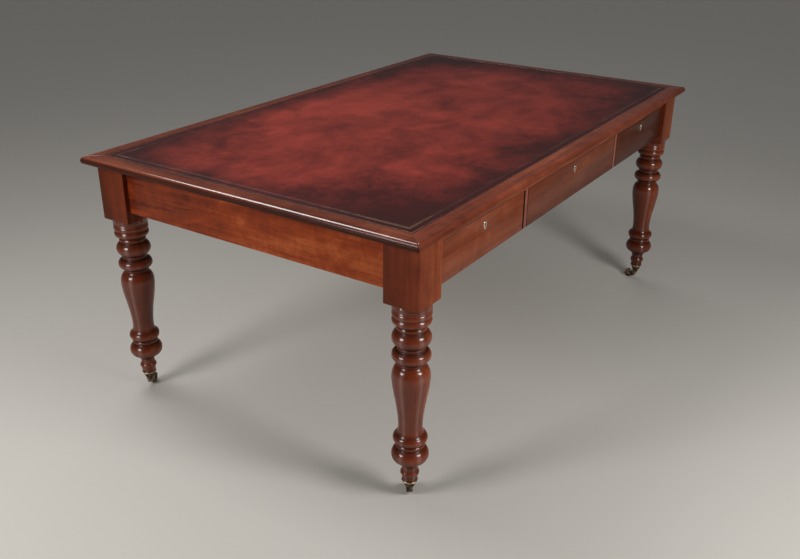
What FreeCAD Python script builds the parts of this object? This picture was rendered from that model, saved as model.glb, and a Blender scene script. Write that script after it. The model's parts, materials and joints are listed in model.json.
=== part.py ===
import FreeCAD, Part
import math
import os

# A partners writing desk on four turned legs with castors: a leather-lined top in a
# moulded border, rails between square leg blocks, and three locking drawers on each
# long side. Millimetres, +Z up, origin on the floor under the middle of the desk,
# X along the drawer sides, front at -Y, left at -X. Pieces are named by where they
# stand, so a "back_left" piece is at +Y and -X.

# Whole desk
desk_length = 1840.0
desk_width = 1120.0
desk_height = 762.0

# Top: board, moulded border and leather
top_thickness = 22.0
border_width = 48.0
leather_thickness = 1.5
tongue_length = 8.0
tongue_thickness = 7.0
thumb_reach = 13.0
ovolo_reach = 8.0
ovolo_height = 8.5
edge_fillet_height = 2.0
edge_ledge = 0.6
quarter_bow_near_share = 0.29
quarter_bow_far_share = 0.71

# How far the top stands out past the leg blocks
end_overhang = 38.0
side_overhang = 22.0

# Legs: square block, turned stretch, foot inside the castor cup
block_side = 100.0
block_height = 168.0
turned_radius = 49.5
castor_height = 57.0
foot_top_radius = 16.3
foot_tip_radius = 12.0

# Rails and dividers
apron_height = 140.0
end_rail_height = 136.0
end_rail_thickness = 24.0
end_rail_setback = 14.0
end_tenon_thickness = 10.0
end_tenon_length = 40.0
end_tenon_shoulder = 16.0
drawer_setback = 10.0
top_rail_height = 27.5
rail_depth = 60.0
rail_tenon_length = 35.0
top_tenon_shoulder = 6.0
bottom_rail_thickness = 16.0
bottom_rail_lift = 6.0
bottom_tenon_shoulder = 2.0
rail_tenon_setin = 10.0
divider_width = 20.0
middle_opening_width = 630.0
joint_clearance = 0.1

# Carcase behind the rails
centre_rail_thickness = 20.0
runner_ledge = 42.0
guide_height = 18.0
guide_gap = 1.0
end_guide_width = 23.0
kicker_width = 40.0

# Drawers
drawer_side_gap = 1.5
drawer_top_gap = 1.5
running_gap = 0.3
front_thickness = 20.0
front_behind_gap = 0.5
drawer_side_thickness = 10.0
drawer_side_drop = 4.0
drawer_back_clearance = 10.0
drawer_back_thickness = 9.0
drawer_back_housing = 3.0
drawer_back_drop = 4.0
drawer_bottom_thickness = 6.0
drawer_bottom_lift = 8.0
drawer_bottom_groove = 5.0

# Lapped dovetails between drawer sides and front
tail_length = 13.0
tail_count = 3
tail_zone_share = 0.94
tail_tip_share = 0.66
tail_root_share = 0.46

# Drawer locks: case, bolt and keyhole plate
lock_width = 60.0
lock_height = 40.0
lock_thickness = 11.0
lock_plate_wall = 2.0
bolt_width = 24.0
bolt_thickness = 6.0
bolt_height = 14.0
bolt_clearance = 0.3
bolt_travel = 6.0
bolt_mortise_spare = 3.0
key_drop = 23.0
key_hole_radius = 2.6
key_slot_width = 2.6
key_slot_length = 9.0
key_turning_radius = 6.5
lock_pin_radius = 1.2
plate_top_radius = 7.5
plate_foot_radius = 4.5
plate_radii_distance = 11.0
plate_thickness = 2.2
plate_stand_out = 1.0

# Castor cups
collar_radius = 21.6
collar_top_radius = 20.4
collar_height = 3.6
cup_waist_radius = 18.8
cup_tip_radius = 12.8
cup_height = 21.0
cup_base_thickness = 4.0
cup_fit = 0.2
flute_count = 12
flute_radius = 2.1
flute_depth = 1.1

# Castor horns, their swivel pins and axles
swivel_gap = 0.3
swivel_pin_radius = 3.5
running_fit = 0.05
rivet_head_radius = 5.0
rivet_head_height = 1.7
rivet_recess_radius = 6.5
rivet_recess_height = 4.0
horn_top_radius = 9.0
horn_plate_height = 3.2
cheek_thickness = 2.7
wheel_side_gap = 0.5
wheel_rim_gap = 1.3
axle_radius = 2.5
axle_boss_radius = 6.2
axle_boss_angle = 100.0
axle_head_radius = 4.2
axle_head_height = 1.4

# Castor wheels
wheel_radius = 16.0
wheel_width = 10.0
wheel_crown = 0.7
wheel_hub_radius = 5.5
wheel_rim_depth = 3.2
wheel_web_recess = 1.6
wheel_trail = 26.0

# Where each castor points, in degrees from +X: they stay where the desk was last pushed
castor_turn = {"front_left": 34.0, "back_left": 24.0, "front_right": 96.0, "back_right": 158.0}

# Horn outline from the throat round to the heel: shares of the wheel's trail and of
# the height of the horn's plate above the floor
throat_shares = (0.50, 0.72)
belly_shares = (0.38, 0.21)
chin_shares = (-0.13, 0.42)
shin_shares = (-0.28, 0.66)

# Screws that hold the top down through the top rails
screw_count = 5
screw_head_radius = 4.5
screw_head_height = 3.0
screw_shank_radius = 2.2
screw_length = 32.5
screw_pocket_depth = 5.0
screw_slot_width = 1.2
screw_slot_depth = 1.0
screw_edge_distance = 14.0

# How far a cutter runs past the face that it opens
overrun = 1.0

# Turned outline from the block down to the foot, as shares of the turned length and
# of turned_radius. A line goes to each of its points, an arc goes through its first
# point to its second, and a curve runs smoothly through all of its points.
turning_shares = [
    ("line", [(0.028, 0.990), (0.030, 0.965), (0.032, 0.965), (0.034, 0.990)]),
    ("line", [(0.040, 0.990), (0.042, 0.945)]),
    ("arc", [(0.0555, 1.0), (0.069, 0.945)]),
    ("line", [(0.072, 0.925), (0.075, 0.930)]),
    ("arc", [(0.091, 1.0), (0.107, 0.889)]),
    ("line", [(0.1145, 0.747), (0.120, 0.717)]),
    ("arc", [(0.130, 0.778), (0.139, 0.737)]),
    ("line", [(0.145, 0.717)]),
    ("arc", [(0.187, 0.998), (0.224, 0.727)]),
    ("line", [(0.234, 0.707), (0.243, 0.707), (0.2505, 0.747)]),
    ("arc", [(0.259, 0.919), (0.2805, 0.988)]),
    ("arc", [(0.294, 0.953), (0.3025, 0.808)]),
    ("line", [(0.304, 0.727)]),
    ("arc", [(0.3125, 0.764), (0.320, 0.717)]),
    ("line", [(0.328, 0.677), (0.332, 0.677)]),
    ("curve", [(0.341, 0.798), (0.363, 0.935), (0.394, 0.988), (0.435, 0.962),
               (0.4855, 0.885), (0.532, 0.798), (0.5825, 0.711), (0.633, 0.6505),
               (0.664, 0.630), (0.691, 0.638), (0.709, 0.679), (0.7215, 0.768)]),
    ("arc", [(0.742, 0.905), (0.767, 0.778)]),
    ("line", [(0.771, 0.717), (0.776, 0.707)]),
    ("arc", [(0.7845, 0.758), (0.793, 0.717)]),
    ("line", [(0.799, 0.697)]),
    ("arc", [(0.842, 0.982), (0.878, 0.778)]),
    ("arc", [(0.894, 0.535), (0.913, 0.420)]),
    ("line", [(0.926, 0.404), (0.936, 0.424), (0.942, 0.4505)]),
    ("arc", [(0.955, 0.501), (0.968, 0.440)]),
    ("line", [(0.979, 0.414), (1.0, 0.400)]),
]
turning_start_share = 0.990

# Levels and faces that several pieces share
under_top = desk_height - top_thickness
board_top = desk_height - leather_thickness
block_x = desk_length / 2 - end_overhang
block_y = desk_width / 2 - side_overhang
inner_x = block_x - block_side
inner_y = block_y - block_side
leg_x = block_x - block_side / 2
leg_y = block_y - block_side / 2
block_bottom = under_top - block_height
turned_length = block_bottom - castor_height
apron_bottom = under_top - apron_height
end_rail_bottom = under_top - end_rail_height
end_rail_inner = block_x - end_rail_setback - end_rail_thickness
front_face = block_y - drawer_setback
top_rail_bottom = under_top - top_rail_height
rail_back = front_face - rail_depth
facing_back = front_face - front_thickness
bottom_rail_face = facing_back - front_behind_gap
bottom_rail_back = bottom_rail_face - rail_depth
bottom_rail_under = apron_bottom + bottom_rail_lift
runner_top = bottom_rail_under + bottom_rail_thickness
divider_x = (middle_opening_width + divider_width) / 2
outer_opening = inner_x - divider_x - divider_width / 2
drawer_places = {
    "left": (-inner_x + outer_opening / 2, outer_opening),
    "middle": (0.0, middle_opening_width),
    "right": (inner_x - outer_opening / 2, outer_opening),
}
drawer_top = top_rail_bottom - drawer_top_gap
side_bottom = runner_top + running_gap
side_top = drawer_top - drawer_side_drop
drawer_end = centre_rail_thickness / 2 + drawer_back_clearance
key_height = drawer_top - key_drop
bolt_middle = facing_back + lock_thickness / 2
cup_bottom = castor_height - cup_height
cup_floor = cup_bottom + cup_base_thickness
horn_top = cup_bottom - swivel_gap
fork_half_width = wheel_width / 2 + wheel_side_gap + cheek_thickness

UP = FreeCAD.Vector(0, 0, 1)
ORIGIN = FreeCAD.Vector(0, 0, 0)


def box(x0, x1, y0, y1, z0, z1):
    return Part.makeBox(x1 - x0, y1 - y0, z1 - z0, FreeCAD.Vector(x0, y0, z0))


def prism(points, push):
    """A solid from the closed outline through points, pushed along a vector."""
    return Part.Face(Part.makePolygon(points + [points[0]])).extrude(push)


def moved(shape, x, y):
    copy = shape.copy()
    copy.translate(FreeCAD.Vector(x, y, 0))
    return copy


def half_turn(shape):
    """The same piece for the back of the desk, which is the front turned about."""
    copy = shape.copy()
    copy.rotate(ORIGIN, UP, 180)
    return copy


def mirrored(shape, x_side, y_side):
    """A front left piece carried over to another corner of the desk."""
    if x_side > 0:
        shape = shape.mirror(ORIGIN, FreeCAD.Vector(1, 0, 0))
    if y_side > 0:
        shape = shape.mirror(ORIGIN, FreeCAD.Vector(0, 1, 0))
    return shape


def save(name, *solids):
    shape = solids[0] if len(solids) == 1 else Part.makeCompound(list(solids))
    shape.exportStep(os.path.join("parts", name + ".step"))


# Top board with a tongue all round
def tongue_plate():
    half_x = desk_length / 2 - border_width + tongue_length
    half_y = desk_width / 2 - border_width + tongue_length
    bottom = under_top + (top_thickness - tongue_thickness) / 2
    return box(-half_x, half_x, -half_y, half_y, bottom, bottom + tongue_thickness)


def top_board():
    half_x = desk_length / 2 - border_width
    half_y = desk_width / 2 - border_width
    board = box(-half_x, half_x, -half_y, half_y, under_top, board_top)
    board = board.fuse(tongue_plate()).removeSplitter()
    for x, y in screw_places():
        hole_radius = screw_shank_radius + joint_clearance
        hole_length = screw_tip() + joint_clearance - under_top
        foot = FreeCAD.Vector(x, y, under_top)
        board = board.cut(Part.makeCylinder(hole_radius, hole_length, foot, UP))
    return board


def writing_leather():
    half_x = desk_length / 2 - border_width
    half_y = desk_width / 2 - border_width
    return box(-half_x, half_x, -half_y, half_y, board_top, desk_height)


# Border: thumb above a narrow fillet and an ovolo below it, mitred at the corners
def quarter_bow(start, end, run_share, rise_share):
    """An arc from start to end in a section, bowed through a point given in shares."""
    bow_y = start.y + (end.y - start.y) * run_share
    bow_z = start.z + (end.z - start.z) * rise_share
    return Part.Arc(start, FreeCAD.Vector(start.x, bow_y, bow_z), end).toShape()


def border_section(x, outer):
    fillet_low = under_top + ovolo_height
    fillet_high = fillet_low + edge_fillet_height
    ovolo_foot = FreeCAD.Vector(x, outer + ovolo_reach, under_top)
    ovolo_head = FreeCAD.Vector(x, outer + edge_ledge, fillet_low)
    fillet_foot = FreeCAD.Vector(x, outer, fillet_low)
    fillet_head = FreeCAD.Vector(x, outer, fillet_high)
    thumb_foot = FreeCAD.Vector(x, outer + edge_ledge, fillet_high)
    thumb_head = FreeCAD.Vector(x, outer + thumb_reach, desk_height)
    inner_head = FreeCAD.Vector(x, outer + border_width, desk_height)
    inner_foot = FreeCAD.Vector(x, outer + border_width, under_top)
    edges = [
        Part.makeLine(inner_foot, ovolo_foot),
        quarter_bow(ovolo_foot, ovolo_head, quarter_bow_far_share, quarter_bow_near_share),
        Part.makeLine(ovolo_head, fillet_foot),
        Part.makeLine(fillet_foot, fillet_head),
        Part.makeLine(fillet_head, thumb_foot),
        quarter_bow(thumb_foot, thumb_head, quarter_bow_near_share, quarter_bow_far_share),
        Part.makeLine(thumb_head, inner_head),
        Part.makeLine(inner_head, inner_foot),
    ]
    return Part.Face(Part.Wire(edges))


def border_length(length, across):
    """One moulded length along X at -Y, mitred at both ends, grooved for the tongue."""
    outer = -across / 2
    half = length / 2
    bar = border_section(-half, outer).extrude(FreeCAD.Vector(length, 0, 0))
    inner = outer + border_width
    mitre = [
        FreeCAD.Vector(-half, outer, under_top - overrun),
        FreeCAD.Vector(half, outer, under_top - overrun),
        FreeCAD.Vector(half - border_width, inner, under_top - overrun),
        FreeCAD.Vector(-half + border_width, inner, under_top - overrun),
    ]
    return bar.common(prism(mitre, FreeCAD.Vector(0, 0, top_thickness + 2 * overrun)))


def top_border():
    front = border_length(desk_length, desk_width)
    side = border_length(desk_width, desk_length)
    side.rotate(ORIGIN, UP, -90)
    lengths = [front, half_turn(front), side, half_turn(side)]
    return [length.cut(tongue_plate()) for length in lengths]


# Legs
def turned_point(drop_share, radius_share):
    return FreeCAD.Vector(turned_radius * radius_share, 0, block_bottom - turned_length * drop_share)


def turned_edges():
    """The turned outline as edges, with the last point that it reaches."""
    here = turned_point(0, turning_start_share)
    edges = []
    for kind, shares in turning_shares:
        points = [turned_point(drop, radius) for drop, radius in shares]
        if kind == "arc":
            edges.append(Part.Arc(here, points[0], points[1]).toShape())
        elif kind == "curve":
            curve = Part.BSplineCurve()
            curve.interpolate([here] + points)
            edges.append(curve.toShape())
        else:
            for start, end in zip([here] + points, points):
                edges.append(Part.makeLine(start, end))
        here = points[-1]
    return edges, here


def turned_stretch():
    edges, shoulder = turned_edges()
    outline = [
        shoulder,
        FreeCAD.Vector(foot_top_radius, 0, castor_height),
        FreeCAD.Vector(foot_tip_radius, 0, cup_floor + cup_fit),
        FreeCAD.Vector(0, 0, cup_floor + cup_fit),
        FreeCAD.Vector(0, 0, block_bottom),
        turned_point(0, turning_start_share),
    ]
    for start, end in zip(outline, outline[1:]):
        edges.append(Part.makeLine(start, end))
    stretch = Part.Face(Part.Wire(edges)).revolve(ORIGIN, UP, 360)
    recess_height = cup_fit + rivet_head_height + swivel_gap + rivet_recess_height
    recess = Part.makeCylinder(rivet_recess_radius, recess_height, FreeCAD.Vector(0, 0, cup_floor), UP)
    return stretch.cut(recess)


def end_tenon(spare):
    outer = -block_x + end_rail_setback + (end_rail_thickness - end_tenon_thickness) / 2
    return box(outer - spare, outer + end_tenon_thickness + spare,
               -inner_y - end_tenon_length - spare, -inner_y + spare,
               end_rail_bottom + end_tenon_shoulder - spare, under_top - end_tenon_shoulder + spare)


def rail_tenon(face, bottom, top, spare):
    """Left tenon of a rail whose front lies at the distance face from the desk's middle."""
    return box(-inner_x - rail_tenon_length - spare, -inner_x + spare,
               -face + rail_tenon_setin - spare, -face + rail_depth - rail_tenon_setin + spare,
               bottom - spare, top + spare)


def top_rail_tenon(spare):
    return rail_tenon(front_face, top_rail_bottom + top_tenon_shoulder,
                      under_top - top_tenon_shoulder, spare)


def bottom_rail_tenon(spare):
    return rail_tenon(bottom_rail_face, bottom_rail_under + bottom_tenon_shoulder,
                      runner_top - bottom_tenon_shoulder, spare)


def leg():
    """The front left leg, with the mortises of the three rails that meet in it."""
    block = box(-block_x, -inner_x, -block_y, -inner_y, block_bottom, under_top)
    shape = block.fuse(moved(turned_stretch(), -leg_x, -leg_y)).removeSplitter()
    for tenon in (end_tenon, top_rail_tenon, bottom_rail_tenon):
        shape = shape.cut(tenon(joint_clearance))
    return shape


# Rails
def end_rail():
    rail = box(-block_x + end_rail_setback, -end_rail_inner, -inner_y, inner_y, end_rail_bottom, under_top)
    tenon = end_tenon(0)
    return rail.fuse(tenon).fuse(tenon.mirror(ORIGIN, FreeCAD.Vector(0, 1, 0))).removeSplitter()


def drawer_middles():
    return [x for x, opening in drawer_places.values()]


def bolt_mortise(x):
    half_width = bolt_width / 2 + bolt_mortise_spare
    half_depth = (bolt_thickness + bolt_mortise_spare) / 2
    return box(x - half_width, x + half_width, -bolt_middle - half_depth, -bolt_middle + half_depth,
               top_rail_bottom - overrun, top_rail_bottom + bolt_travel + bolt_mortise_spare)


def top_rail():
    rail = box(-inner_x, inner_x, -front_face, -rail_back, top_rail_bottom, under_top)
    tenon = top_rail_tenon(0)
    rail = rail.fuse(tenon).fuse(tenon.mirror(ORIGIN, FreeCAD.Vector(1, 0, 0))).removeSplitter()
    for x in drawer_middles():
        rail = rail.cut(bolt_mortise(x))
    for x, y in front_screw_places():
        pocket = Part.makeCylinder(screw_head_radius + joint_clearance, screw_pocket_depth + overrun,
                                   FreeCAD.Vector(x, y, top_rail_bottom - overrun), UP)
        hole = Part.makeCylinder(screw_shank_radius + joint_clearance, top_rail_height + overrun,
                                 FreeCAD.Vector(x, y, top_rail_bottom), UP)
        rail = rail.cut(pocket).cut(hole)
    return rail


def bottom_rail():
    rail = box(-inner_x, inner_x, -bottom_rail_face, -bottom_rail_back, bottom_rail_under, runner_top)
    tenon = bottom_rail_tenon(0)
    return rail.fuse(tenon).fuse(tenon.mirror(ORIGIN, FreeCAD.Vector(1, 0, 0))).removeSplitter()


def divider():
    """Stands on the bottom rail, with a lip that covers the rail's front edge."""
    half = divider_width / 2
    post = box(-divider_x - half, -divider_x + half, -front_face, -rail_back, runner_top, top_rail_bottom)
    lip = box(-divider_x - half, -divider_x + half, -front_face, -bottom_rail_face,
              apron_bottom, runner_top)
    return post.fuse(lip).removeSplitter()


# Runners under the drawers, guides beside them and kickers above them
def runners():
    ledge_x = inner_x - runner_ledge
    wide = box(-end_rail_inner, -ledge_x, -inner_y, inner_y, bottom_rail_under, runner_top)
    narrow = box(-inner_x, -ledge_x, -bottom_rail_back, bottom_rail_back, bottom_rail_under, runner_top)
    end = wide.fuse(narrow).removeSplitter()
    reach = divider_width / 2 + runner_ledge
    middle = box(-divider_x - reach, -divider_x + reach, -bottom_rail_back, bottom_rail_back,
                 bottom_rail_under, runner_top)
    return [end, middle, half_turn(end), half_turn(middle)]


def guides():
    run_past = drawer_side_gap - guide_gap
    guide_top = runner_top + guide_height
    end_inner = -inner_x + run_past
    end = box(end_inner - end_guide_width, end_inner, -inner_y, inner_y, runner_top, guide_top)
    half = divider_width / 2 + run_past
    middle = box(-divider_x - half, -divider_x + half, -rail_back, rail_back, runner_top, guide_top)
    return [end, middle, half_turn(end), half_turn(middle)]


def kickers():
    end = box(-inner_x, -inner_x + kicker_width, -rail_back, rail_back, top_rail_bottom, under_top)
    middle = box(-divider_x - kicker_width / 2, -divider_x + kicker_width / 2, -rail_back, rail_back,
                 top_rail_bottom, under_top)
    return [end, middle, half_turn(end), half_turn(middle)]


def centre_rail():
    """Runs the length of the desk between the two rows of drawers, notched over what it crosses."""
    half = centre_rail_thickness / 2
    rail = box(-end_rail_inner, end_rail_inner, -half, half, runner_top, under_top)
    for crossing in guides() + kickers():
        rail = rail.cut(crossing)
    return rail


# Screws of the top
def screw_tip():
    return top_rail_bottom + screw_pocket_depth + screw_length


def front_screw_places():
    pitch = 2 * inner_x / screw_count
    y = -rail_back - screw_edge_distance
    return [(-inner_x + pitch * (i + 1 / 2), y) for i in range(screw_count)]


def screw_places():
    front = front_screw_places()
    return front + [(-x, -y) for x, y in front]


def screw(x, y):
    seat = top_rail_bottom + screw_pocket_depth
    head_bottom = seat - screw_head_height
    head = Part.makeCylinder(screw_head_radius, screw_head_height, FreeCAD.Vector(x, y, head_bottom), UP)
    shank = Part.makeCylinder(screw_shank_radius, screw_length, FreeCAD.Vector(x, y, seat), UP)
    reach = screw_head_radius + overrun
    slot = box(x - reach, x + reach, y - screw_slot_width / 2, y + screw_slot_width / 2,
               head_bottom - overrun, head_bottom + screw_slot_depth)
    return head.fuse(shank).cut(slot)


# Keyhole and its plate, cut and laid square to a drawer front
def keyhole(x, y_front, y_back):
    depth = y_back - y_front
    inward = FreeCAD.Vector(0, 1, 0)
    eye = Part.makeCylinder(key_hole_radius, depth, FreeCAD.Vector(x, y_front, key_height), inward)
    half = key_slot_width / 2
    slot = box(x - half, x + half, y_front, y_back, key_height - key_slot_length, key_height)
    return eye.fuse(slot)


def plate_blank(x):
    """Pear outline: two circles joined by their outer tangents."""
    y = -front_face - plate_stand_out
    inward = FreeCAD.Vector(0, 1, 0)
    eye = FreeCAD.Vector(x, y, key_height)
    foot = FreeCAD.Vector(x, y, key_height - plate_radii_distance)
    top_disc = Part.makeCylinder(plate_top_radius, plate_thickness, eye, inward)
    foot_disc = Part.makeCylinder(plate_foot_radius, plate_thickness, foot, inward)
    lean = math.asin((plate_top_radius - plate_foot_radius) / plate_radii_distance)
    corners = []
    for centre, radius in ((eye.z, plate_top_radius), (foot.z, plate_foot_radius)):
        corners.append((radius * math.cos(lean), centre - radius * math.sin(lean)))
    right = [FreeCAD.Vector(x + reach, y, z) for reach, z in corners]
    left = [FreeCAD.Vector(x - reach, y, z) for reach, z in reversed(corners)]
    web = prism(right + left, FreeCAD.Vector(0, plate_thickness, 0))
    return top_disc.fuse(foot_disc).fuse(web).removeSplitter()


def keyhole_plate(x):
    front = -front_face - plate_stand_out
    return plate_blank(x).cut(keyhole(x, front - overrun, front + plate_thickness + overrun))


# Lock case and bolt, let into the back of the drawer front
def lock_blank(x):
    return box(x - lock_width / 2, x + lock_width / 2, -facing_back - lock_thickness, -facing_back,
               drawer_top - lock_height, drawer_top)


def lock_bolt(x, spare=0.0):
    half_width = bolt_width / 2 + spare
    half_depth = bolt_thickness / 2 + spare
    return box(x - half_width, x + half_width, -bolt_middle - half_depth, -bolt_middle + half_depth,
               drawer_top - bolt_height - spare, drawer_top)


def lock_case(x):
    front = -facing_back - lock_thickness
    inward = FreeCAD.Vector(0, 1, 0)
    channel = lock_bolt(x, bolt_clearance)
    cavity_depth = lock_thickness - 2 * lock_plate_wall
    cavity = Part.makeCylinder(key_turning_radius, cavity_depth,
                               FreeCAD.Vector(x, front + lock_plate_wall, key_height), inward)
    case = lock_blank(x).cut(channel).cut(cavity)
    case = case.cut(keyhole(x, front - overrun, front + lock_plate_wall + overrun))
    pin_length = lock_thickness - lock_plate_wall
    pin = Part.makeCylinder(lock_pin_radius, pin_length, FreeCAD.Vector(x, front, key_height), inward)
    return case.fuse(pin)


# Drawer pieces, as they lie with the drawer shut
def drawer_half_width(opening):
    return opening / 2 - drawer_side_gap


def drawer_bottom(x, opening):
    half = drawer_half_width(opening) - drawer_side_thickness + drawer_bottom_groove
    low = side_bottom + drawer_bottom_lift
    return box(x - half, x + half, -facing_back - drawer_bottom_groove, -drawer_end,
               low, low + drawer_bottom_thickness)


def drawer_tails(side_x):
    """Dovetails of one drawer side, wider at their tips, reaching into the front."""
    zone = (side_top - side_bottom) * tail_zone_share
    pitch = zone / tail_count
    first = (side_top + side_bottom - zone) / 2 + pitch / 2
    tip_half = pitch * tail_tip_share / 2
    root_half = pitch * tail_root_share / 2
    tails = []
    for i in range(tail_count):
        middle = first + pitch * i
        outline = [
            FreeCAD.Vector(side_x, -facing_back, middle - root_half),
            FreeCAD.Vector(side_x, -facing_back - tail_length, middle - tip_half),
            FreeCAD.Vector(side_x, -facing_back - tail_length, middle + tip_half),
            FreeCAD.Vector(side_x, -facing_back, middle + root_half),
        ]
        tails.append(prism(outline, FreeCAD.Vector(drawer_side_thickness, 0, 0)))
    return tails


def drawer_sides(x, opening):
    """The two side boards with their tails, before they are grooved and housed."""
    reach = drawer_half_width(opening)
    boards = []
    for side_x in (x - reach, x + reach - drawer_side_thickness):
        board = box(side_x, side_x + drawer_side_thickness, -facing_back, -drawer_end,
                    side_bottom, side_top)
        boards.append(board.multiFuse(drawer_tails(side_x)).removeSplitter())
    return boards


def drawer_back(x, opening):
    half = drawer_half_width(opening) - drawer_side_thickness + drawer_back_housing
    low = side_bottom + drawer_bottom_lift + drawer_bottom_thickness
    return box(x - half, x + half, -drawer_end - drawer_back_thickness, -drawer_end,
               low, side_top - drawer_back_drop)


def drawer_box(x, opening):
    back = drawer_back(x, opening)
    bottom = drawer_bottom(x, opening)
    return [side.cut(back).cut(bottom) for side in drawer_sides(x, opening)] + [back]


def drawer_facing(x, opening):
    half = drawer_half_width(opening)
    facing = box(x - half, x + half, -front_face, -facing_back, apron_bottom, drawer_top)
    for side in drawer_sides(x, opening):
        facing = facing.cut(side)
    facing = facing.cut(drawer_bottom(x, opening)).cut(lock_blank(x)).cut(plate_blank(x))
    return facing.cut(keyhole(x, -front_face - overrun, -facing_back - lock_thickness + overrun))


# Castors, about a swivel axis at the origin, with the wheel out along +X
def castor_cup():
    collar_foot = castor_height - collar_height
    collar_middle = castor_height - collar_height / 2
    straight = [
        FreeCAD.Vector(cup_waist_radius, 0, collar_foot),
        FreeCAD.Vector(cup_tip_radius, 0, cup_bottom),
        FreeCAD.Vector(swivel_pin_radius + running_fit, 0, cup_bottom),
        FreeCAD.Vector(swivel_pin_radius + running_fit, 0, cup_floor),
        FreeCAD.Vector(foot_tip_radius + cup_fit, 0, cup_floor),
        FreeCAD.Vector(foot_top_radius + cup_fit, 0, castor_height),
        FreeCAD.Vector(collar_top_radius, 0, castor_height),
    ]
    edges = [Part.makeLine(start, end) for start, end in zip(straight, straight[1:])]
    edges.append(Part.Arc(straight[-1], FreeCAD.Vector(collar_radius, 0, collar_middle),
                          FreeCAD.Vector(collar_top_radius, 0, collar_foot)).toShape())
    edges.append(Part.makeLine(FreeCAD.Vector(collar_top_radius, 0, collar_foot), straight[0]))
    cup = Part.Face(Part.Wire(edges)).revolve(ORIGIN, UP, 360)
    for i in range(flute_count):
        cup = cup.cut(flute_cutter(360 * i / flute_count))
    return cup


def flute_cutter(angle):
    """A round rod laid along the cup's slope, sunk into it by flute_depth."""
    out = flute_radius - flute_depth
    top = FreeCAD.Vector(cup_waist_radius + out, 0, castor_height - collar_height)
    foot = FreeCAD.Vector(cup_tip_radius + out, 0, cup_bottom - overrun)
    slope = foot - top
    rod = Part.makeCylinder(flute_radius, slope.Length, top, slope)
    rod.rotate(ORIGIN, UP, angle)
    return rod


def horn_point(shares):
    return FreeCAD.Vector(wheel_trail * shares[0], -fork_half_width, horn_top * shares[1])


def horn_blank():
    """Side outline of the horn pushed across its width."""
    y = -fork_half_width
    plate_foot = horn_top - horn_plate_height
    angle = math.radians(axle_boss_angle)
    boss_run = wheel_trail + axle_boss_radius * math.cos(angle)
    boss_rise = axle_boss_radius * math.sin(angle)
    boss_head = FreeCAD.Vector(boss_run, y, wheel_radius + boss_rise)
    boss_foot = FreeCAD.Vector(boss_run, y, wheel_radius - boss_rise)
    boss_tip = FreeCAD.Vector(wheel_trail + axle_boss_radius, y, wheel_radius)
    back_head = FreeCAD.Vector(-horn_top_radius, y, horn_top)
    front_head = FreeCAD.Vector(horn_top_radius, y, horn_top)
    front_foot = FreeCAD.Vector(horn_top_radius, y, plate_foot)
    back_foot = FreeCAD.Vector(-horn_top_radius, y, plate_foot)
    chin = horn_point(chin_shares)
    edges = [
        Part.makeLine(back_head, front_head),
        Part.makeLine(front_head, front_foot),
        Part.Arc(front_foot, horn_point(throat_shares), boss_head).toShape(),
        Part.Arc(boss_head, boss_tip, boss_foot).toShape(),
        Part.Arc(boss_foot, horn_point(belly_shares), chin).toShape(),
        Part.Arc(chin, horn_point(shin_shares), back_foot).toShape(),
        Part.makeLine(back_foot, back_head),
    ]
    return Part.Face(Part.Wire(edges)).extrude(FreeCAD.Vector(0, 2 * fork_half_width, 0))


def across_axle(radius, length):
    """A cylinder along Y about the wheel's axle, centred on it."""
    return Part.makeCylinder(radius, length, FreeCAD.Vector(wheel_trail, -length / 2, wheel_radius),
                             FreeCAD.Vector(0, 1, 0))


def castor_fork():
    """Horn with its swivel pin riveted over inside the cup, and the axle through its cheeks."""
    slot = across_axle(wheel_radius + wheel_rim_gap, wheel_width + 2 * wheel_side_gap)
    horn = horn_blank().cut(slot).cut(across_axle(axle_radius, 2 * fork_half_width + overrun))
    plate = Part.makeCylinder(horn_top_radius, horn_plate_height,
                              FreeCAD.Vector(0, 0, horn_top - horn_plate_height), UP)
    rivet_foot = cup_floor + swivel_gap
    pin = Part.makeCylinder(swivel_pin_radius, rivet_foot - horn_top + overrun,
                            FreeCAD.Vector(0, 0, horn_top), UP)
    rivet = Part.makeCylinder(rivet_head_radius, rivet_head_height, FreeCAD.Vector(0, 0, rivet_foot), UP)
    horn = horn.fuse(plate).fuse(pin).fuse(rivet).removeSplitter()
    return [horn, axle()]


def axle():
    rod = across_axle(axle_radius, 2 * fork_half_width)
    heads = []
    for side in (-1, 1):
        foot = FreeCAD.Vector(wheel_trail, side * fork_half_width, wheel_radius)
        heads.append(Part.makeCone(axle_head_radius, axle_radius, axle_head_height, foot,
                                   FreeCAD.Vector(0, side, 0)))
    return rod.multiFuse(heads).removeSplitter()


def castor_wheel():
    half = wheel_width / 2
    bore = axle_radius + running_fit
    web_half = half - wheel_web_recess
    rim_inner = wheel_radius - wheel_rim_depth
    rim_edge = wheel_radius - wheel_crown
    near_side = [(bore, -half), (wheel_hub_radius, -half), (wheel_hub_radius, -web_half),
                 (rim_inner, -web_half), (rim_inner, -half), (rim_edge, -half)]
    far_side = [(radius, -across) for radius, across in reversed(near_side)]
    near = [FreeCAD.Vector(radius, across, 0) for radius, across in near_side]
    far = [FreeCAD.Vector(radius, across, 0) for radius, across in far_side]
    edges = [Part.makeLine(start, end) for start, end in zip(near, near[1:])]
    edges.append(Part.Arc(near[-1], FreeCAD.Vector(wheel_radius, 0, 0), far[0]).toShape())
    edges += [Part.makeLine(start, end) for start, end in zip(far, far[1:])]
    edges.append(Part.makeLine(far[-1], near[0]))
    wheel = Part.Face(Part.Wire(edges)).revolve(ORIGIN, FreeCAD.Vector(0, 1, 0), 360)
    wheel.translate(FreeCAD.Vector(wheel_trail, 0, wheel_radius))
    return wheel


def placed_castor(solid, corner, x_side, y_side):
    turned = solid.copy()
    turned.rotate(ORIGIN, UP, castor_turn[corner])
    return moved(turned, x_side * leg_x, y_side * leg_y)


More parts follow.
